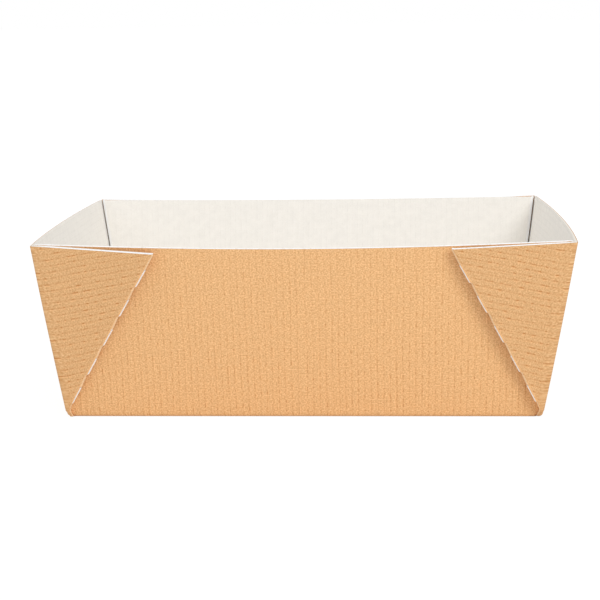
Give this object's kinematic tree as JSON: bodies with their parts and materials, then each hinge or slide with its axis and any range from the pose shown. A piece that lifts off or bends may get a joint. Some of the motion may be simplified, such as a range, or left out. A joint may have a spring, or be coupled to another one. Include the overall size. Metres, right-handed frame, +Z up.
{
  "type": "sandwich box",
  "caption": "Open rectangular sandwich tray folded from one sheet of fine corrugated board, brown outside and white inside, with flared walls and folded web corners.",
  "frame": {"origin": "centre of the floor's underside, on the table", "axes": "+X along the long side, +Y across towards the back wall, +Z up out of the open top"},
  "size_m": [0.2106, 0.151, 0.0698],
  "materials": {
    "tray": "matte"
  },
  "bodies": {
    "root": {"tray": "tray"}
  },
  "joints": []
}
